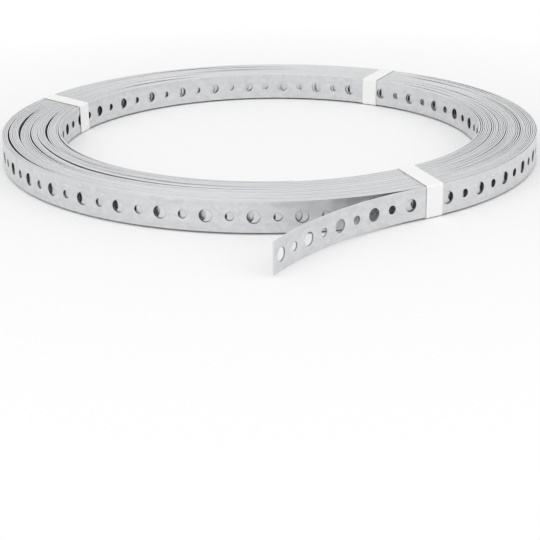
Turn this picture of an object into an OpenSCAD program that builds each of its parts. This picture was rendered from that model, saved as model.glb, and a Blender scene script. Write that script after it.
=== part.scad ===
// A roll of perforated steel strap: one long strip, wound flat on itself round an open bore,
// bound by three plastic ties, with its outer end free and bent outwards.
// Millimetres. +Z is the axis of the roll and z = 0 the plane of the strap's lower edges,
// so the ties, on which the roll rests, reach a little below zero. The free end is towards -Y.

/* [Strap] */
// Width of the strap, which is also the height of the roll
strap_w = 17; // [14:0.5:30]
// Thickness of the strap
strap_t = 0.8; // [0.6:0.05:1.2]
// Diameter of the large holes
large_hole_d = 7; // [5:0.25:8]
// Diameter of the small holes
small_hole_d = 4.5; // [3:0.25:5]
// Distance between the centres of neighbouring holes
hole_pitch = 12.5; // [10:0.5:16]
// Distance from a cut end of the strap to the centre of its first hole
end_margin = 7; // [5:0.5:8]

/* [Roll] */
// Diameter of the bore
bore_d = 260; // [200:5:400]
// Number of turns
turns = 33; // [15:1:45]
// Gap between one turn and the next
turn_gap = 0.27; // [0.1:0.01:0.5]
// Depth to which those gaps are open at each end of the roll
gap_depth = 1.5; // [0.5:0.1:4]
// Angle over which each turn climbs onto the one below it, between the strap's inner end and the
// place where its outer end leaves the roll
climb_a = 24; // [15:1:60]

/* [Free end] */
// Angle from +X to the place where the free end leaves the roll
leave_a = 299.5; // [290:0.5:310]
// Length of the free end
tail_l = 116; // [80:1:160]
// Radius to which the free end is bent outwards
tail_bend_r = 205; // [150:5:400]

/* [Ties] */
// Width of a tie
tie_w = 10.5; // [9:0.5:16]
// Thickness of a tie
tie_t = 0.5; // [0.3:0.05:0.5]
// Clearance between a tie and the roll
tie_clear = 0.1; // [0.05:0.01:0.15]
// Length of the welded lap on the underside of a tie
lap_l = 26; // [15:1:32]
// Distance from the place where the free end leaves to the tie beside it
tie_setback = 1; // [0.5:0.1:3]
// Angle from +X to the tie at the right of the back
right_tie_a = 58.5; // [45:0.5:70]
// Angle from +X to the tie at the left
left_tie_a = 155; // [145:0.5:170]
// Angle at which the front tie crosses the roll askew, with its inner end further round
front_skew_a = 12; // [-20:1:20]
// The same for the tie at the right of the back
right_skew_a = -6; // [-20:1:20]
// The same for the tie at the left
left_skew_a = 18; // [-20:1:20]

/* [Hidden] */
$fn = 96;

pitch = strap_t + turn_gap;
bore_r = bore_d / 2;
roll_r = bore_r + turns * pitch - turn_gap;
tail_mid_r = tail_bend_r + strap_t / 2;
tail_centre = roll_r + tail_bend_r;
front_tie_a = leave_a + arc_angle(tie_setback + tie_w / cos(front_skew_a) / 2, roll_r);
over = 1; // how far a cutting tool runs past the face that it opens
reach = 2 * roll_r; // longer than the roll in every direction

// Angle in degrees of an arc of this length and radius
function arc_angle(length, radius) = length / radius * 180 / PI;

// Hole number i, counted from a cut end of the strap: where it is along the strap, and its size
function hole_at(i) = end_margin + i * hole_pitch;
function hole_d(i) = i % 2 == 0 ? large_hole_d : small_hole_d;

// Where a turn climbs past a cut end, its face is a circle struck from a centre moved towards that
// end. It lies one pitch away from the end's own face there and meets that face again after climb_a.
// climb_shift is how far the centre moves, to the nearest 0.01 mm, for a face of radius r.
function climb_shift(r, step) =
    round(100 * step / (1 - cos(climb_a)) * (2 * r + step) / (2 * (r + step))) / 100;
function climb_radius(r, step) = r + step - climb_shift(r, step);

// Radius at which that circle is met in the direction a away from the cut end
function climb_face(r, step, a) =
    let (shift = climb_shift(r, step))
    shift * cos(a) + sqrt(pow(climb_radius(r, step), 2) - pow(shift * sin(a), 2));

// Radius of the roll's outer face and of its bore at the angle a from where the free end leaves
function outer_face(a) =
    let (before = (720 - a) % 360)
    before < climb_a ? climb_face(roll_r, -pitch, before) : roll_r;
function inner_face(a) =
    let (before = (720 - a) % 360)
    before < climb_a ? climb_face(bore_r, pitch, climb_a - before) : bore_r;

// Radius of the outer face of turn i, the gap beside it being turn_gap wide
function turn_face(i) = bore_r + i * pitch + strap_t;

// Half of the roll's section at one end, from the bore outwards: the edge of each turn, then the gap
// beside it. The first and the last gap are left to end_gap, because they don't run all round.
function turn_edges(height, floor_height) = concat(
    [[bore_r, height]],
    [
        for (i = [1 : turns - 3])
            let (face = turn_face(i))
            each [
                [face, height], [face, floor_height],
                [face + turn_gap, floor_height], [face + turn_gap, height]
            ]
    ],
    [[roll_r, height]]
);

// A sector of a disc from direction a0 to a1, at most a third of a turn wide
module sector(a0, a1) {
    translate([0, 0, -over])
        linear_extrude(strap_w + 2 * over)
            polygon([
                [0, 0],
                reach * [cos(a0), sin(a0)],
                2 * reach * [cos((a0 + a1) / 2), sin((a0 + a1) / 2)],
                reach * [cos(a1), sin(a1)]
            ]);
}

module disc(r) {
    translate([0, 0, -over])
        cylinder(r = r, h = strap_w + 2 * over);
}

// The wound turns, as one turned ring whose ends show the gaps between them
module wound_turns() {
    upper = turn_edges(strap_w, strap_w - gap_depth);
    lower = turn_edges(0, gap_depth);
    rotate_extrude()
        polygon(concat(upper, [for (i = [len(lower) - 1 : -1 : 0]) lower[i]]));
}

// The gap beside turn i, at both ends of the roll, from the direction +X round to where a climb ends
module end_gap(i) {
    rotate_extrude(angle = 360 - climb_a)
        for (z = [-over, strap_w - gap_depth])
            translate([turn_face(i), z])
                square([turn_gap, gap_depth + over]);
}

// What is missing outside the second turn, where the free end has left it
module outer_step() {
    difference() {
        intersection() {
            disc(roll_r + over);
            sector(-1.5 * climb_a, 0);
        }
        translate([climb_shift(roll_r, -pitch), 0, 0])
            disc(climb_radius(roll_r, -pitch));
    }
}

// What is missing inside the second turn, beyond the strap's inner end
module inner_step() {
    intersection() {
        translate([climb_shift(bore_r, pitch), 0, 0])
            disc(climb_radius(bore_r, pitch));
        sector(0, 1.5 * climb_a);
    }
}

// A hole through the strap, along +X from x = start
module hole(d, start, length) {
    translate([start, 0, strap_w / 2])
        rotate([0, 90, 0])
            cylinder(d = d, h = length);
}

// The holes of the outermost turn, each as deep as the strap is thick
module outer_holes() {
    first = ceil((tail_l - end_margin) / hole_pitch);
    last = floor((tail_l + 2 * PI * (roll_r - strap_t / 2) - end_margin - large_hole_d) / hole_pitch);
    for (i = [first : last]) {
        a = arc_angle(hole_at(i) - tail_l, roll_r - strap_t / 2);
        rotate(a)
            hole(hole_d(i), outer_face(a) - strap_t, strap_t + over + pitch);
    }
}

// The holes of the innermost turn
module inner_holes() {
    last = floor((2 * PI * (bore_r + strap_t / 2) - end_margin - large_hole_d) / hole_pitch);
    for (i = [0 : last]) {
        a = -climb_a - arc_angle(hole_at(i), bore_r + strap_t / 2);
        rotate(a)
            hole(hole_d(i), bore_r - over, inner_face(a) + strap_t - bore_r + over);
    }
}

// The free end: it leaves the roll along its tangent and bends outwards, away from it
module tail() {
    translate([tail_centre, 0, 0])
        rotate(180)
            difference() {
                rotate_extrude(angle = arc_angle(tail_l, tail_mid_r))
                    translate([tail_bend_r, 0])
                        square([strap_t, strap_w]);
                for (i = [0 : floor((tail_l - end_margin - large_hole_d / 2) / hole_pitch)])
                    rotate(arc_angle(tail_l - hole_at(i), tail_mid_r))
                        hole(hole_d(i), tail_bend_r - over, strap_t + 2 * over);
            }
}

// The whole strap, drawn with the place where the free end leaves the roll in the direction +X,
// then turned to its own direction
module strap_roll() {
    color([0.82, 0.82, 0.83])
        rotate(leave_a) {
            difference() {
                wound_turns();
                outer_step();
                end_gap(turns - 2);
                rotate(-climb_a) {
                    inner_step();
                    mirror([0, 1, 0])
                        end_gap(0);
                }
                outer_holes();
                inner_holes();
            }
            tail();
        }
}

// A rectangle from [x0, y0] to [x1, y1] with round corners
module round_rectangle(x0, y0, x1, y1, r) {
    translate([x0 + r, y0])
        square([x1 - x0 - 2 * r, y1 - y0]);
    translate([x0, y0 + r])
        square([x1 - x0, y1 - y0 - 2 * r]);
    for (x = [x0 + r, x1 - r], y = [y0 + r, y1 - r])
        translate([x, y])
            circle(r);
}

// A tie: a flat band drawn tight round the roll's section, its ends welded in a lap underneath.
// It crosses the roll's outer face at the angle a, and runs askew from there.
module tie(a, skew_a) {
    inner = bore_r - tie_clear;
    outer = roll_r + tie_clear;
    low = -tie_clear;
    high = strap_w + tie_clear;
    color("white")
        rotate(a)
            intersection() {
                rotate_extrude() {
                    difference() {
                        round_rectangle(inner - tie_t, low - tie_t, outer + tie_t, high + tie_t, tie_t);
                        translate([inner, low])
                            square([outer - inner, high - low]);
                    }
                    translate([(inner + outer - lap_l) / 2, low - 2 * tie_t])
                        square([lap_l, 1.5 * tie_t]);
                }
                translate([outer, 0, low - 3 * tie_t])
                    rotate(-skew_a)
                        translate([-2 * (outer - inner), -tie_w / 2, 0])
                            cube([3 * (outer - inner), tie_w, high - low + 6 * tie_t]);
            }
}

strap_roll();
tie(front_tie_a, front_skew_a);  // front_tie
tie(right_tie_a, right_skew_a);  // right_tie
tie(left_tie_a, left_skew_a);  // left_tie
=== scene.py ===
"""Looks, light and camera for a roll of perforated steel strap.

The strap is wound as one continuous strip, turn by turn, with real holes in the turns that
show, and the three plastic ties are bands folded round it. Lengths are in millimetres until a
mesh is written, which is in metres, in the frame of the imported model. Materials, floor, lamps
and camera are in metres throughout.
"""
import math

import bpy
import numpy as np
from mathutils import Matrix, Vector


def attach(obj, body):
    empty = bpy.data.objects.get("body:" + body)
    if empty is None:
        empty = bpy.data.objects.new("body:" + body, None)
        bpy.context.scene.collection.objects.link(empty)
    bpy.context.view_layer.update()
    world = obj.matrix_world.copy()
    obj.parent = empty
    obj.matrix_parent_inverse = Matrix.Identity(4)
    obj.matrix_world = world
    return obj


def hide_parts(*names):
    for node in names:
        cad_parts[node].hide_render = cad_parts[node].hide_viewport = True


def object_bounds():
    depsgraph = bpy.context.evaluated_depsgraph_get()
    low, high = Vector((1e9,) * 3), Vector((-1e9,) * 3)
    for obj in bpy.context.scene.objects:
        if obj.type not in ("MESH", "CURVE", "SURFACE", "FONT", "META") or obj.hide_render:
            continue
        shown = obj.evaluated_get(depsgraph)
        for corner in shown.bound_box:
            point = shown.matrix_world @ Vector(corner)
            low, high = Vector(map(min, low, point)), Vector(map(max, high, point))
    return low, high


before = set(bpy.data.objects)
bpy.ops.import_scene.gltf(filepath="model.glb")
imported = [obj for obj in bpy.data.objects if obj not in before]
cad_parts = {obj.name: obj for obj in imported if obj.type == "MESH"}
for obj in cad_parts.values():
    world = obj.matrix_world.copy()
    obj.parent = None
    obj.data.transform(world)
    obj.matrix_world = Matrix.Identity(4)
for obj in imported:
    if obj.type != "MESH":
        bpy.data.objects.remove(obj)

cad_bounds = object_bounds()

# ---------------------------------------------------------------- sizes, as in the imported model

WIDTH, THICK = 17.0, 0.8                 # the strap's section
BORE_R, TURNS, GAP = 130.0, 33, 0.27
PITCH = THICK + GAP
ROLL_R = BORE_R + TURNS * PITCH - GAP
LEAVE = math.radians(299.5)              # where the free end leaves the roll
CLIMB = math.radians(24.0)               # stretch over which each turn steps outwards
TAIL_L, TAIL_BEND_R = 116.0, 205.0       # the free end's length, and the radius of its bend
HOLE_PITCH, END_MARGIN = 12.5, 7.0       # from hole to hole, and from a cut end to its first hole
LARGE_R, SMALL_R = 3.5, 2.25             # the two sizes of hole, which take turns

TIE_W, TIE_T, TIE_CLEAR, LAP_L = 10.5, 0.5, 0.1, 26.0
TIE_SETBACK = 1.0                        # from where the free end leaves to the tie beside it
FRONT_SKEW, RIGHT_SKEW, LEFT_SKEW = np.radians([12.0, -6.0, 18.0])
FRONT_TIE = LEAVE + (TIE_SETBACK + TIE_W / math.cos(FRONT_SKEW) / 2) / ROLL_R
RIGHT_TIE, LEFT_TIE = np.radians([58.5, 155.0])
TIES = {"front_tie": (FRONT_TIE, FRONT_SKEW), "right_tie": (RIGHT_TIE, RIGHT_SKEW),
        "left_tie": (LEFT_TIE, LEFT_SKEW)}

# ---------------------------------------------------------------- small helpers


def smooth(x):
    """0 below 0, 1 above 1, with level ends."""
    x = np.clip(x, 0.0, 1.0)
    return x * x * (3.0 - 2.0 * x)


def unit(vectors):
    """These vectors, each brought to a length of 1."""
    return vectors / np.linalg.norm(vectors, axis=-1, keepdims=True)


def angle_between(a, b):
    """The angle between two directions, from 0 to pi."""
    return np.abs((a - b + math.pi) % math.tau - math.pi)


def lengths_along(points):
    """How far along the line through these points each of them lies."""
    return np.concatenate([[0.0], np.cumsum(np.linalg.norm(np.diff(points, axis=0), axis=1))])


def tie_plan(angle, skew, radius, across=0.0):
    """Where a tie passes at this distance from the axis, seen from above, and how far along its
    band that is from the roll's outer face, which it crosses at the angle before it runs askew."""
    face = ROLL_R + TIE_CLEAR
    along = np.sqrt(radius ** 2 - (face * math.sin(skew) + across) ** 2) - face * math.cos(skew)
    return (face + (along + 1j * across) * np.exp(-1j * skew)) * np.exp(1j * angle), along


def linked(name, mesh, material):
    """A new object in the scene with this mesh and material."""
    mesh.materials.append(material)
    obj = bpy.data.objects.new(name, mesh)
    bpy.context.collection.objects.link(obj)
    return obj


def new_piece(name, points, faces, normals, attributes, material):
    """A piece from points in millimetres, faces, a normal for each corner of each face, and
    attributes, which are name, type, domain and numbers."""
    mesh = bpy.data.meshes.new(name)
    mesh.from_pydata((points / 1000.0).tolist(), [], faces)
    mesh.polygons.foreach_set("use_smooth", np.ones(len(faces), bool))
    for title, kind, domain, numbers in attributes:
        field = "vector" if kind == "FLOAT_VECTOR" else "value"
        mesh.attributes.new(title, kind, domain).data.foreach_set(field, np.ravel(numbers))
    mesh.normals_split_custom_set(unit(normals).tolist())
    return linked(name, mesh, material)


# ---------------------------------------------------------------- the strap's path

RNG = np.random.default_rng(17)
PATH_STEP = math.radians(0.25)           # between points on the wound strap's path
TAIL_STEPS = 240                         # steps on the free end's path

TIE_GRIP = math.radians(2.5)             # how far each side of a tie it holds the turns together
TIE_RELEASE = math.radians(13.0)         # stretch beyond that over which they come free
CLIMB_RELEASE = math.radians(12.0)       # the same each side of the stretch where they climb

GAP_WAVES, WAVE_SIZE = 4, 0.28           # waves round the roll in each gap's width, and their size
MOST_WAVE = 0.9                          # the most that they change it, as a natural logarithm
OPENING = 9.0                            # how many of its own widths a gap gains where it is open
OPEN_SHARE = (0.16, 0.42)                # half of an open stretch, as a share of its room
MIN_OPEN_HALF = math.radians(18.0)       # the least half, because steel doesn't bend sharply

# Between which ties, in which part of the way from the one to the other, how many gaps are open
LOOSE_SPANS = [
    (FRONT_TIE, RIGHT_TIE + math.tau, (0.76, 0.86), 7),
    (RIGHT_TIE, LEFT_TIE, (0.25, 0.75), 8),
    (LEFT_TIE, FRONT_TIE, (0.15, 0.7), 8),
]

# How far the strap's edge wanders off level, the radius at which that counts its turns, and the
# waves in it: share, radians per turn, start
WANDER, WANDER_R = 0.085, 147.0
WANDER_WAVES = ((0.45, 2.399, 0.7), (0.35, 1.13 * math.tau, 2.0), (0.2, 0.37 * math.tau, 0.0))


def looseness(angle):
    """How free each gap between turns is at these directions: 0 under a tie and where the turns
    climb, 1 between."""
    free = np.ones((TURNS - 1, len(angle)))
    for tie, skew in TIES.values():
        under = np.angle(tie_plan(tie, skew, BORE_R + PITCH * np.arange(1, TURNS))[0])
        free *= smooth((angle_between(angle, under[:, None]) - TIE_GRIP) / TIE_RELEASE)
    before = (LEAVE - angle) % math.tau
    away = np.minimum(np.maximum(before - CLIMB, 0.0), math.tau - before)
    return free * smooth(away / CLIMB_RELEASE)


def gap_widths(angle):
    """Width of each gap between neighbouring turns at these directions. The turns lie unevenly:
    most are close together, and a few stand apart over part of the way between two ties, in long
    slim gaps."""
    waves, opening = np.zeros((2, TURNS - 1, len(angle)))
    for gap in waves:
        for wave in range(1, GAP_WAVES + 1):
            size, phase = RNG.normal(0.0, WAVE_SIZE), RNG.uniform(0, math.tau)
            gap += size * np.cos(wave * angle + phase)
    for start, end, loosest, count in LOOSE_SPANS:
        for gap in RNG.permutation(TURNS - 1)[:count]:
            middle = start + RNG.uniform(*loosest) * (end - start)
            room = min(middle - start, end - middle) * 2
            half = max(RNG.uniform(*OPEN_SHARE) * room, MIN_OPEN_HALF)
            opening[gap] += smooth(1.0 - angle_between(angle, middle) / half)
    free = looseness(angle)
    width = np.exp(free * np.clip(waves, -MOST_WAVE, MOST_WAVE)) * (1.0 + OPENING * free * opening)
    return width / width.mean(axis=0) * GAP


def wound_path():
    """Points along the middle of the strap from its inner end to the place where it leaves the
    roll, clockwise seen from above, as polar angle and radius of the middle of its thickness."""
    inner_end = LEAVE - CLIMB
    last = TURNS * math.tau - CLIMB
    wound = np.linspace(0.0, last, round(last / PATH_STEP) + 1)
    # A hair is added, so that rounding leaves no turn's first point in the turn before it
    turn = np.minimum(np.floor(wound / math.tau + 1e-9), TURNS - 1)
    along = wound - turn * math.tau
    grid = np.linspace(0.0, math.tau, round(math.tau / PATH_STEP) + 1)
    shifts = np.cumsum(gap_widths(inner_end - grid) - GAP, axis=0)
    shifts = np.vstack([np.zeros(len(grid)), shifts])
    radius = BORE_R + THICK / 2 + PITCH * turn
    radius += PITCH * smooth((along - (math.tau - CLIMB)) / CLIMB)
    for k in range(TURNS):
        rows = turn == k
        radius[rows] += np.interp(along[rows], grid, shifts[k])
    return inner_end - wound, radius


def strap_path():
    """The whole strap's middle line: plan points, distances from the inner end, and the distances
    at which each turn begins."""
    angle, radius = wound_path()
    wound = np.column_stack([radius * np.cos(angle), radius * np.sin(angle)])
    middle = TAIL_BEND_R + THICK / 2
    centre = (ROLL_R + TAIL_BEND_R) * np.array([math.cos(LEAVE), math.sin(LEAVE)])
    bend = LEAVE + math.pi + np.arange(1, TAIL_STEPS + 1) / TAIL_STEPS * TAIL_L / middle
    tail = centre + middle * np.column_stack([np.cos(bend), np.sin(bend)])
    whole = np.vstack([wound, tail])
    distance = lengths_along(whole)
    starts = np.searchsorted(-angle, CLIMB - LEAVE + math.tau * np.arange(TURNS))
    return whole, distance, distance[starts]


PLAN, DISTANCE, TURN_S = strap_path()
END_S = DISTANCE[-1]
TANGENT = unit(np.gradient(PLAN, DISTANCE, axis=0))


def at(s):
    """Plan point, direction of travel and outward normal of the strap at these distances."""
    point, way = (np.column_stack([np.interp(s, DISTANCE, part) for part in line.T])
                  for line in (PLAN, TANGENT))
    way = unit(way)
    return point, way, np.column_stack([-way[:, 1], way[:, 0]])


def wander(s):
    """How far the strap's edge stands above or below level: the turns aren't wound quite flush."""
    turn = s / (math.tau * WANDER_R)
    return WANDER * sum(share * np.sin(pace * turn + start) for share, pace, start in WANDER_WAVES)


# ---------------------------------------------------------------- meshes of the strap

FULL_HOLE_TURNS = 3                      # turns at each face of the roll that have real holes
STEPS_PER_TURN = 240                     # rows of faces in each turn without holes
BEVEL, EDGE = 0.16, 0.12                 # round-over at a hole's rim, and at the strap's edges
DISH, DISH_LEAN = 0.03, 0.10             # how deep the punch draws the rim in, and at what slope
RING_W = 1.3                             # width of the ring of faces round a hole
SIDES = 8                                # points along each side of a hole's cell
WELDS_PER_MM = 1e4                       # points that agree to this part of a millimetre are one
FACE, SLIT, PUNCHED = 0.0, 1.0, 2.0      # what a face of the strap is: rolled, slit or punched


class Strip:
    """Collects the faces of a stretch of strap in the strap's own coordinates: the distance along
    it, the height on its width, and the depth in its thickness."""

    def __init__(self):
        self.points, self.normals, self.kinds = [], [], []

    def quads(self, grid, normal, kind):
        """Quads on a grid of points, rows x columns x 3, with one normal or one for each point."""
        grid = np.asarray(grid, float)
        normals = np.broadcast_to(np.asarray(normal, float), grid.shape)
        for block, store in ((grid, self.points), (normals, self.normals)):
            store.append(np.stack([block[:-1, :-1], block[:-1, 1:], block[1:, 1:], block[1:, :-1]],
                                  axis=2).reshape(-1, 4, 3))
        self.kinds.append(np.full(len(self.points[-1]), kind))

    def edges(self, s):
        """The slit upper and lower edges along the distances s, with their worn corners."""
        half = THICK / 2
        for edge, up in ((WIDTH, 1), (0.0, -1)):    # backwards below, so that faces look outwards
            rows = [(edge - up * EDGE, half, (0, 0, 1)), (edge, half - EDGE, (0, up, 0)),
                    (edge, EDGE - half, (0, up, 0)), (edge - up * EDGE, -half, (0, 0, -1))][::up]
            self.quads([[(x, height, depth) for x in s] for height, depth, _ in rows],
                       [[normal] * len(s) for _, _, normal in rows], SLIT)

    def plain(self, s):
        """A stretch without holes, with a row of faces from each distance in s to the next."""
        for side in (1, -1):
            heights = (EDGE, WIDTH - EDGE)[::side]
            self.quads([[(x, height, side * THICK / 2) for x in s] for height in heights],
                       (0, 0, side), FACE)
        self.edges(s)

    def holed(self, s0, s1, centre, r):
        """A cell of the strap from s0 to s1, with a punched hole of radius r whose outer rim is
        drawn in. Its points go round from the cell's corner at s0 and the lower edge."""
        half, count = THICK / 2, 4 * SIDES
        corners = np.array([(s0, EDGE), (s1, EDGE), (s1, WIDTH - EDGE), (s0, WIDTH - EDGE)])
        part, following = np.arange(SIDES)[:, None] / SIDES, np.roll(corners, -1, axis=0)
        cell = np.vstack([a + (b - a) * part for a, b in zip(corners, following)])
        turn = -0.75 * math.pi + math.tau * np.arange(count) / count
        out = np.column_stack([np.cos(turn), np.sin(turn)])

        def level(plan, depth):
            return np.column_stack([plan, np.full(count, depth)])

        def ring(radius, depth):
            return level((centre, WIDTH / 2) + radius * out, depth)

        def closed(rows):
            rows = np.stack(rows)
            return np.concatenate([rows, rows[:, :1]], axis=1)

        flat, dish, into = level(0.0 * out, 1.0), level(-DISH_LEAN * out, 1.0), level(-out, 0.0)
        rim, mouth = ring(r + BEVEL, half - DISH), ring(r, half - BEVEL)
        self.quads(closed([level(cell, half), ring(r + RING_W, half), rim]),
                   closed([flat, flat, dish]), FACE)
        self.quads(closed([rim, mouth]), closed([dish, into]), PUNCHED)
        self.quads(closed([mouth, ring(r, -half)]), closed([into, into]), PUNCHED)
        self.quads(closed([ring(r, -half), ring(r + RING_W, -half), level(cell, -half)]),
                   (0, 0, -1), FACE)
        self.edges(np.linspace(s0, s1, SIDES + 1))

    def holed_stretch(self, s_from, s_to, holes):
        """A stretch from s_from to s_to with these holes in order, each a distance and radius."""
        cuts = [s_from] + [(a[0] + b[0]) / 2 for a, b in zip(holes, holes[1:])] + [s_to]
        for (centre, r), s0, s1 in zip(holes, cuts, cuts[1:]):
            self.holed(s0, s1, centre, r)

    def cut_end(self, s, way, heights):
        """The end face at the distance s, facing along the strap (way 1) or back (way -1): its
        middle, with points at these heights, and what lies between the worn corners."""
        half = THICK / 2
        rows = [[(s, height, depth) for height in heights] for depth in (-half, half)]
        self.quads(rows[::way], (way, 0, 0), SLIT)
        for height, edge, up in ((EDGE, 0.0, -1), (WIDTH - EDGE, WIDTH, 1)):
            rows = [[(s, height, half), (s, height, -half)],
                    [(s, edge, half - EDGE), (s, edge, EDGE - half)]]
            self.quads(rows[::way * up], (way, 0, 0), SLIT)

    def build(self, name, material):
        """The piece, bent to the strap's path."""
        # Distance, height and depth make a left-handed frame, so corners are taken backwards
        corner, normal = (np.concatenate(store)[:, ::-1].reshape(-1, 3)
                          for store in (self.points, self.normals))
        _, first, index = np.unique(np.round(corner * WELDS_PER_MM).astype(np.int64), axis=0,
                                    return_index=True, return_inverse=True)
        s, height, depth = corner[first].T
        base, _, out = at(s)
        points = np.column_stack([base + out * depth[:, None], height + wander(s)])
        _, along, out = at(corner[:, 0])
        normals = np.column_stack([along * normal[:, :1] + out * normal[:, 2:], normal[:, 1]])
        attributes = [("strip", "FLOAT_VECTOR", "CORNER", corner / 1000.0),
                      ("cut", "FLOAT", "FACE", np.concatenate(self.kinds))]
        return new_piece(name, points, index.reshape(-1, 4).tolist(), normals, attributes, material)


def holes_from(end, way, count):
    """The first count holes from the cut end at this distance, in order along the strap."""
    return sorted((end + way * (END_MARGIN + i * HOLE_PITCH), SMALL_R if i % 2 else LARGE_R)
                  for i in range(count))


def strap(material):
    """The strap in three stretches: the outer turns with the free end, the middle, the inner. They
    meet half-way between two holes."""
    outer_count = round((END_S - TURN_S[TURNS - FULL_HOLE_TURNS] - END_MARGIN) / HOLE_PITCH)
    inner_count = round((TURN_S[FULL_HOLE_TURNS] - END_MARGIN) / HOLE_PITCH)
    outer_from = END_S - END_MARGIN - (outer_count - 0.5) * HOLE_PITCH
    inner_to = END_MARGIN + (inner_count - 0.5) * HOLE_PITCH
    # Heights of the points down the ends, where a cell with a hole and where a plain row is next
    beside_hole = EDGE + (WIDTH - 2 * EDGE) * np.linspace(0.0, 1.0, SIDES + 1)
    beside_plain = [EDGE, WIDTH - EDGE]

    outer = Strip()
    outer.holed_stretch(outer_from, END_S, holes_from(END_S, -1, outer_count))
    outer.cut_end(outer_from, -1, beside_hole)
    outer.cut_end(END_S, 1, beside_hole)

    middle = Strip()
    steps = STEPS_PER_TURN * (TURNS - 2 * FULL_HOLE_TURNS)
    middle.plain(np.linspace(inner_to, outer_from, steps + 1))
    middle.cut_end(inner_to, -1, beside_plain)
    middle.cut_end(outer_from, 1, beside_plain)

    inner = Strip()
    inner.holed_stretch(0.0, inner_to, holes_from(0.0, 1, inner_count))
    inner.cut_end(0.0, -1, beside_hole)
    inner.cut_end(inner_to, 1, beside_hole)

    stretches = {"strap_outer_turns": outer, "strap_middle_turns": middle,
                 "strap_inner_turns": inner}
    return [strip.build(name, material) for name, strip in stretches.items()]


# ---------------------------------------------------------------- the ties

FOLD_R = 0.95                            # radius of the middle of the band at its folds
BAND_T = TIE_T - 0.02                    # a hair under the room that the solids hold for it
BAND_CORNER_R = 0.14                     # round-over of the band's own edges
LAP_STEP_L = 3.2                         # length of the step down to the lap's lower layer
# Points on the parts of the band: under the roll, at each fold, up a side, over the top, on the
# step and in the lap's lower layer
UNDER_N, FOLD_N, SIDE_N, TOP_N, STEP_N, LAP_N = 20, 8, 12, 24, 13, 18
CORNER_STEPS, BAND_FACES = 3, 8          # steps round a corner of its section, and across it


def arc(centre, start, end):
    """Points and outward normals of a fold, in the plane of a tie."""
    angle = np.linspace(start, end, FOLD_N)
    out = np.column_stack([np.cos(angle), np.sin(angle)])
    return np.asarray(centre) + FOLD_R * out, out


def run(start, end, count, out):
    """Points and normals on a straight run, without its ends."""
    part = np.linspace(0.0, 1.0, count + 2)[1:-1, None]
    return np.asarray(start) * (1 - part) + np.asarray(end) * part, np.tile(out, (count, 1))


def band_line():
    """The middle of a tie's band, as radius and height: from its inner end under the roll, in
    towards the axis, up the bore, over the top, down outside, and back under its own start."""
    gap = TIE_CLEAR + TIE_T / 2
    r0, r1, z0, z1 = BORE_R - gap, ROLL_R + gap, -gap, WIDTH + gap
    middle, f, quarter = (r0 + r1) / 2, FOLD_R, math.pi / 2
    lap0, lap1, low = middle - LAP_L / 2, middle + LAP_L / 2, z0 - TIE_T
    part = np.linspace(0.0, 1.0, STEP_N)
    step = np.column_stack([lap1 + LAP_STEP_L - LAP_STEP_L * part, z0 + (low - z0) * smooth(part)])
    slope = np.gradient(step, axis=0)
    parts = [
        ([(lap1, z0)], [(0.0, -1.0)]),
        run((lap1, z0), (r0 + f, z0), UNDER_N, (0, -1)),
        arc((r0 + f, z0 + f), -quarter, -2 * quarter),
        run((r0, z0 + f), (r0, z1 - f), SIDE_N, (-1, 0)),
        arc((r0 + f, z1 - f), 2 * quarter, quarter),
        run((r0 + f, z1), (r1 - f, z1), TOP_N, (0, 1)),
        arc((r1 - f, z1 - f), quarter, 0),
        run((r1, z1 - f), (r1, z0 + f), SIDE_N, (1, 0)),
        arc((r1 - f, z0 + f), 0, -quarter),
        (step, unit(np.column_stack([-slope[:, 1], slope[:, 0]]))),
        run((lap1, low), (lap0, low), LAP_N, (0, -1)),
        ([(lap0, low)], [(0.0, -1.0)]),
    ]
    return np.vstack([points for points, _ in parts]), np.vstack([normals for _, normals in parts])


def band_section():
    """Round a band's section: place across its width and its thickness, and the normal there."""
    a, b = TIE_W / 2 - BAND_CORNER_R, BAND_T / 2 - BAND_CORNER_R
    points, normals = [], []
    for cx, cy, start in ((a, b, 90), (a, -b, 0), (-a, -b, -90), (-a, b, -180)):
        for turn in np.radians(start - 90.0 / CORNER_STEPS * np.arange(CORNER_STEPS + 1)):
            x, y = math.cos(turn), math.sin(turn)
            normals.append((x, y))
            points.append((cx + BAND_CORNER_R * x, cy + BAND_CORNER_R * y))
        if cx * cy < 0:                  # a broad face follows this corner
            face = np.linspace(cx, -cx, BAND_FACES + 1)[1:-1]
            points += [(place, points[-1][1]) for place in face]
            normals += [normals[-1]] * len(face)
    return np.array(points), np.array(normals)


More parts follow.
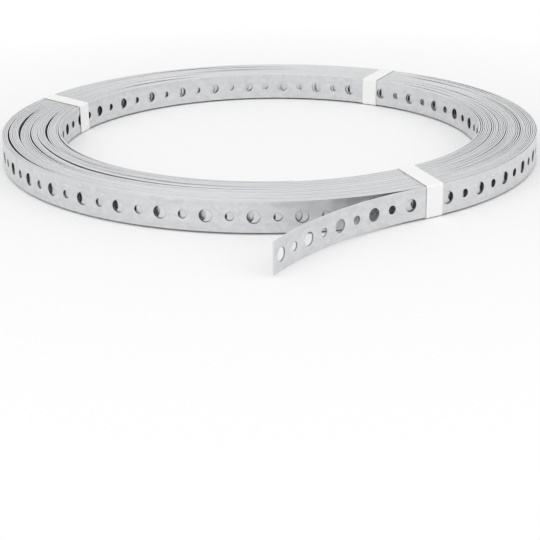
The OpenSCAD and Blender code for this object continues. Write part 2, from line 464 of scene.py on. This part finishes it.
def tie(name, angle, skew, material):
    """One plastic band, folded round the roll at this angle, askew, and following its curve."""
    line, line_out = band_line()
    section, section_out = band_section()
    count, (across, depth) = len(section), section.T
    plan, along = tie_plan(angle, skew, line[:, :1] + line_out[:, :1] * depth, across)
    points = np.stack([plan.real, plan.imag, line[:, 1:] + line_out[:, 1:] * depth], axis=-1)
    lengthwise = np.exp(1j * (angle - skew))
    flat = (line_out[:, :1] * section_out[:, 1] * plan / np.abs(plan)
            + section_out[:, 0] * 1j * lengthwise)
    normals = unit(np.stack([flat.real, flat.imag, line_out[:, 1:] * section_out[:, 1]], axis=-1))

    # The faces round the band, with a normal at each of their corners, then its two end faces
    row, place = np.divmod(np.arange((len(line) - 1) * count), count)
    here, beside = row * count + place, row * count + (place + 1) % count
    faces = np.column_stack([here, here + count, beside + count, beside]).tolist()
    corners = [normals.reshape(-1, 3)[faces].reshape(-1, 3)]
    for first, way in ((0, 1), (len(line) * count - count, -1)):
        faces.append(list(range(first, first + count))[::way])
        corners.append(np.tile([way * lengthwise.real, way * lengthwise.imag, 0.0], (count, 1)))

    # Each point's place on the band for the pressed pattern: how far along it, and across
    centre, centre_along = tie_plan(angle, skew, line[:, 0])
    length = lengths_along(np.column_stack([centre.real, centre.imag, line[:, 1]]))
    band = np.zeros((len(line), count, 3))
    band[..., 0] = length[:, None] + line_out[:, 1:] * (along - centre_along[:, None])
    band[..., 1] = across
    attributes = [("band", "FLOAT_VECTOR", "POINT", band / 1000.0)]
    return new_piece(name, points.reshape(-1, 3), faces, np.vstack(corners), attributes, material)


# ---------------------------------------------------------------- materials

class Nodes:
    """Short ways to add and link the nodes of a material or of the world."""

    def __init__(self, owner):
        owner.use_nodes = True
        self.tree = owner.node_tree
        self.tree.nodes.clear()

    def add(self, kind, inputs=None, **settings):
        """A new node. Each of its inputs, by name or number, takes a value or a node's output."""
        node = self.tree.nodes.new(kind)
        for key, value in settings.items():
            setattr(node, key, value)
        for key, value in (inputs or {}).items():
            if isinstance(value, bpy.types.NodeSocket):
                self.tree.links.new(value, node.inputs[key])
            else:
                node.inputs[key].default_value = value
        return node

    def attribute(self, name, output):
        """What a mesh's attribute of this name says."""
        return self.add("ShaderNodeAttribute", attribute_name=name).outputs[output]

    def math(self, operation, *values):
        """The values joined by an operation, from left to right, or one value changed by it."""
        result = values[0]
        for value in values[1:] or (0.0,):
            node = self.add("ShaderNodeMath", {0: result, 1: value}, operation=operation)
            result = node.outputs[0]
        return result

    def swing(self, value, amount, middle=0.5):
        """How far a value lies above or below its middle, times an amount."""
        return self.math("MULTIPLY", self.math("SUBTRACT", value, middle), amount)

    def scaled(self, vector, factors):
        """A vector with each of its parts times a factor."""
        node = self.add("ShaderNodeVectorMath", {0: vector, 1: factors}, operation="MULTIPLY")
        return node.outputs[0]

    def spread(self, value, from_min, from_max, to_min, to_max):
        """A value brought from one range to another, and kept inside it."""
        return self.add("ShaderNodeMapRange", {
            "Value": value, "From Min": from_min, "From Max": from_max,
            "To Min": to_min, "To Max": to_max}).outputs["Result"]

    def noise(self, vector, per_metre, detail, roughness):
        """Noise that changes so many times per metre along each part of a vector."""
        return self.add("ShaderNodeTexNoise", {
            "Vector": self.scaled(vector, per_metre), "Scale": 1.0,
            "Detail": detail, "Roughness": roughness}).outputs["Fac"]

    def bump(self, height, strength, distance):
        """The normal of a surface with this relief, at most a distance in metres high."""
        return self.add("ShaderNodeBump", {
            "Height": height, "Strength": strength, "Distance": distance}).outputs["Normal"]

    def tinted(self, value, tint):
        """A grey of this value, with its red, green and blue times those of the tint."""
        parts = {key: value if share == 1.0 else self.math("MULTIPLY", value, share)
                 for key, share in zip(("Red", "Green", "Blue"), tint)}
        return self.add("ShaderNodeCombineColor", parts).outputs["Color"]

    def surface(self, inputs):
        """The material's surface, a Principled shader with these inputs."""
        shader = self.add("ShaderNodeBsdfPrincipled", inputs)
        self.add("ShaderNodeOutputMaterial", {"Surface": shader.outputs["BSDF"]})

    def mixed(self, share, first, second):
        """The first shader, with this share of the second."""
        return self.add("ShaderNodeMixShader", {
            0: share, 1: first.outputs[0], 2: second.outputs[0]}).outputs["Shader"]


NOISE_RANGE = (0.3, 0.7)                 # where most of a noise's values lie

# The steel's noises: changes per metre along the strap, across and through it, detail, roughness
ROLLING_LINES = (9.0, 2600.0, 900.0), 3.0, 0.6
STREAKS = (4.0, 420.0, 300.0), 2.0, 0.5
PATCHES = (5.0, 30.0, 0.0), 3.0, 0.55
SMUDGES = (38.0, 60.0, 0.0), 4.0, 0.6
SHEAR_MARKS = (90.0, 1800.0, 2600.0), 2.0, 0.6

CRYSTALS_PER_METRE, CRYSTAL_SHAPE = 420.0, (0.7, 1.0, 0.0)     # longer along the strap than across
RAGGED_PER_METRE, RAGGED_BY = 480.0, (0.0015, 0.0015, 0.0)     # how ragged their outlines are

# Its colour, how much darker punched walls are (bare steel and painted shade), how far each mark
# shades it
STEEL_VALUE, STEEL_TINT = 0.70, (0.992, 1.0, 1.012)
SHADE_DEPTH, PUNCHED_BARE_AND_SHADED = 0.9, 0.6
CRYSTAL_SHADE, PATCH_SHADE, STREAK_SHADE = 0.08, 0.16, 0.10
SHEAR_SHADE, SHEAR_MIDDLE = 0.20, 0.38

# Its roughness, how much rougher slit metal is, and how far each mark changes it
STEEL_ROUGH, SLIT_ROUGHER = 0.38, 0.06
SMUDGE_ROUGH, CRYSTAL_ROUGH, LINE_ROUGH = 0.07, 0.10, 0.12

# The relief of each mark, and the strength and the height in metres of all of it
LINE_HEIGHT, CRYSTAL_HEIGHT, SHEAR_HEIGHT = 0.5, 0.35, 0.9
STEEL_BUMP, STEEL_BUMP_DISTANCE = 0.35, 0.00004


def galvanised():
    """Zinc-coated strip: faint spangle, fine lines along the rolling direction, dull patches, and
    plainer, slightly darker metal where it was slit or punched; the punched hole walls are darker
    partly as bare sheared steel and partly as painted shade in the holes."""
    material = bpy.data.materials.new("galvanised_steel_strip")
    n = Nodes(material)
    where, cut = n.attribute("strip", "Vector"), n.attribute("cut", "Fac")
    slit = n.math("MINIMUM", cut, 1.0)
    punched = n.math("SUBTRACT", cut, slit)
    rolled = n.math("SUBTRACT", 1.0, slit)

    ragged = n.add("ShaderNodeTexNoise", {"Vector": where, "Scale": RAGGED_PER_METRE})
    shifted = n.add("ShaderNodeVectorMath", {
        0: where, 1: n.scaled(ragged.outputs["Color"], RAGGED_BY)}, operation="ADD")
    crystals = n.add("ShaderNodeTexVoronoi", {
        "Vector": n.scaled(shifted.outputs[0], CRYSTAL_SHAPE), "Scale": CRYSTALS_PER_METRE},
        feature="F1")
    crystal = n.add("ShaderNodeSeparateColor", {"Color": crystals.outputs["Color"]}).outputs
    grain, lean = crystal["Red"], crystal["Green"]
    lines, streaks, patches, smudges, shear = (
        n.noise(where, *kind) for kind in (ROLLING_LINES, STREAKS, PATCHES, SMUDGES, SHEAR_MARKS))

    shade = n.math("ADD", n.swing(grain, CRYSTAL_SHADE), n.swing(patches, PATCH_SHADE),
                   n.swing(streaks, STREAK_SHADE))
    shade = n.math("ADD", n.math("MULTIPLY", shade, rolled),
                   n.math("MULTIPLY", n.swing(shear, SHEAR_SHADE, SHEAR_MIDDLE), slit))
    value = n.math("ADD", STEEL_VALUE, n.math("MULTIPLY", shade, SHADE_DEPTH))
    # Punched hole walls are darkened: partly bare sheared steel, partly painted shade in the holes
    bare_and_painted_shade = n.math("SUBTRACT", 1.0, n.math("MULTIPLY", punched, PUNCHED_BARE_AND_SHADED))
    rough = n.math("ADD", n.spread(smudges, *NOISE_RANGE, -SMUDGE_ROUGH, SMUDGE_ROUGH),
                   n.swing(lean, CRYSTAL_ROUGH), n.swing(lines, LINE_ROUGH), STEEL_ROUGH,
                   n.math("MULTIPLY", slit, SLIT_ROUGHER))
    height = n.math("ADD", n.math("MULTIPLY", lines, LINE_HEIGHT),
                    n.math("MULTIPLY", grain, CRYSTAL_HEIGHT))
    height = n.math("ADD", n.math("MULTIPLY", height, rolled),
                    n.math("MULTIPLY", shear, slit, SHEAR_HEIGHT))
    n.surface({"Metallic": 1.0, "Roughness": rough,
               "Base Color": n.tinted(n.math("MULTIPLY", value, bare_and_painted_shade), STEEL_TINT),
               "Normal": n.bump(height, STEEL_BUMP, STEEL_BUMP_DISTANCE)})
    return material


# The plastic's noises: changes per metre along the band and across it, detail, roughness
CLOUDS = (60.0, 90.0, 0.0), 3.0, 0.55
FIBRES = (40.0, 3000.0, 0.0), 2.0, 0.5
LOZENGE_L, LOZENGE_W = 0.0022, 0.0016    # of the pressed pattern, along the band and across it
PLAIN_EDGE = (0.0036, 0.0043)            # from the band's middle: where the lozenges fade out
GROOVE_RANGE = (0.2, 0.95)               # from the bottom of a groove up to a lozenge
PLASTIC_VALUE, PLASTIC_TINT = 0.93, (1.0, 1.0, 0.992)
CLOUD_SHADE, GROOVE_PAINTED_SHADE = 0.04, 0.012
LOZENGE_HEIGHT, FIBRE_HEIGHT = 0.8, 0.35
PLASTIC_BUMP, PLASTIC_BUMP_DISTANCE = 0.5, 0.00006
PLASTIC_ROUGH = (0.30, 0.42)


def strapping():
    """White polypropylene strapping: a fine pressed lozenge pattern with painted shade in its
    grooves, and slight clouding.
    """
    material = bpy.data.materials.new("white_strapping")
    n = Nodes(material)
    where = n.attribute("band", "Vector")
    axes = n.add("ShaderNodeSeparateXYZ", {0: where}).outputs
    along = n.math("MULTIPLY", axes["X"], math.tau / LOZENGE_L)
    across = n.math("MULTIPLY", axes["Y"], math.tau / LOZENGE_W)
    lozenge = n.math("MAXIMUM", n.math("SINE", n.math("ADD", along, across)),
                     n.math("SINE", n.math("SUBTRACT", along, across)))
    inside = n.spread(n.math("ABSOLUTE", axes["Y"]), *PLAIN_EDGE, 1.0, 0.0)
    cloud, fibres = n.noise(where, *CLOUDS), n.noise(where, *FIBRES)

    # Painted shade: the colour is darker in the pattern's grooves, where shade would fall
    painted_groove_shade = n.math("MULTIPLY", n.spread(lozenge, *GROOVE_RANGE, 1.0, 0.0), GROOVE_PAINTED_SHADE)
    value = n.math("SUBTRACT", n.math("ADD", PLASTIC_VALUE, n.swing(cloud, CLOUD_SHADE)), painted_groove_shade)
    height = n.math("ADD", n.math("MULTIPLY", lozenge, inside, LOZENGE_HEIGHT),
                    n.math("MULTIPLY", fibres, FIBRE_HEIGHT))
    n.surface({"Base Color": n.tinted(value, PLASTIC_TINT), "IOR": 1.49,
               "Roughness": n.spread(cloud, *NOISE_RANGE, *PLASTIC_ROUGH),
               "Subsurface Weight": 0.12, "Subsurface Scale": 0.0012,
               "Subsurface Radius": (1.0, 1.0, 1.0),
               "Normal": n.bump(height, PLASTIC_BUMP, PLASTIC_BUMP_DISTANCE)})
    return material


STEEL, PLASTIC = galvanised(), strapping()
for piece in strap(STEEL):
    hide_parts("strap_roll")
    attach(piece, "root")
for node, (direction, skew) in TIES.items():
    piece = tie(node + "_band", direction, skew, PLASTIC)
    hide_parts(node)
    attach(piece, "root")


# ---------------------------------------------------------------- floor, light and camera

FLOOR_X, FLOOR_Y = (-4, 4), (-4, 6)      # the floor's sides
FLOOR_COLOUR, WHITE = (0.97, 0.97, 0.97, 1.0), (1.0, 1.0, 1.0, 1.0)
FADE = (0.20, 0.42)                      # from the axis: where the floor turns into plain white
SKY, BACKGROUND = 0.78, 1.0              # the world's strength as light, and as it is seen

# Each lamp's place, width and power
LAMPS = {"key_light": ((-1.0, -1.4, 1.6), 2.4, 13.5), "fill_light": ((1.7, -1.0, 1.5), 2.0, 8.0)}

CAMERA_AT = (-0.0006, -0.8, 0.2234)
DOWN, ROLL = math.radians(21.0), math.radians(-0.6)    # how far it looks below level, and leans
LENS, SENSOR, NEAR, FAR = 87.3, 36.0, 0.01, 100.0


def is_seen(n):
    """1 for camera, glossy and transmitted rays, which see the pale background."""
    path = n.add("ShaderNodeLightPath").outputs
    return n.math("MAXIMUM", path["Is Camera Ray"], path["Is Glossy Ray"],
                  path["Is Transmission Ray"])


def floor():
    """A pale floor that keeps the roll's shadow, and turns into plain white away from it."""
    material = bpy.data.materials.new("pale_floor")
    n = Nodes(material)
    place = n.scaled(n.add("ShaderNodeNewGeometry").outputs["Position"], (1.0, 1.0, 0.0))
    away = n.add("ShaderNodeVectorMath", {0: place}, operation="LENGTH").outputs["Value"]
    white = n.math("MULTIPLY", n.spread(away, *FADE, 0.0, 1.0), is_seen(n))
    mix = n.mixed(white, n.add("ShaderNodeBsdfDiffuse", {"Color": FLOOR_COLOUR}),
                  n.add("ShaderNodeEmission", {"Color": WHITE, "Strength": BACKGROUND}))
    n.add("ShaderNodeOutputMaterial", {"Surface": mix})

    (x0, x1), (y0, y1), low = FLOOR_X, FLOOR_Y, cad_bounds[0][2]
    mesh = bpy.data.meshes.new("floor")
    mesh.from_pydata([(x0, y0, low), (x1, y0, low), (x1, y1, low), (x0, y1, low)], [],
                     [(0, 1, 2, 3)])
    obj = linked("floor", mesh, material)


def studio():
    """The world: soft light from all sides, and plain white where it is seen."""
    world = bpy.data.worlds.new("studio")
    bpy.context.scene.world = world
    n = Nodes(world)
    light, seen = (n.add("ShaderNodeBackground", {"Color": WHITE, "Strength": strength})
                   for strength in (SKY, BACKGROUND))
    n.add("ShaderNodeOutputWorld", {"Surface": n.mixed(is_seen(n), light, seen)})


def aimed(obj, place, target):
    """Put a lamp or camera at a place, looking at a target."""
    obj.location = place
    way = Vector(target) - Vector(place)
    obj.rotation_euler = way.to_track_quat("-Z", "Y").to_euler()
    bpy.context.collection.objects.link(obj)


def lamp(name, place, size, power):
    """A square lamp that looks at the middle of the roll."""
    light = bpy.data.lights.new(name, "AREA")
    light.shape, light.size, light.energy = "SQUARE", size, power
    aimed(bpy.data.objects.new(name, light), place, (0.0, 0.0, 0.0))


floor()
studio()
for name, settings in LAMPS.items():
    lamp(name, *settings)

camera = bpy.data.cameras.new("camera")
camera.lens, camera.sensor_width = LENS, SENSOR
camera.clip_start, camera.clip_end = NEAR, FAR
view = bpy.data.objects.new("camera", camera)
aimed(view, CAMERA_AT,
      (CAMERA_AT[0], CAMERA_AT[1] + math.cos(DOWN), CAMERA_AT[2] - math.sin(DOWN)))
view.rotation_euler.rotate_axis("Z", ROLL)
bpy.context.scene.camera = view
bpy.context.scene.view_settings.view_transform = "Standard"
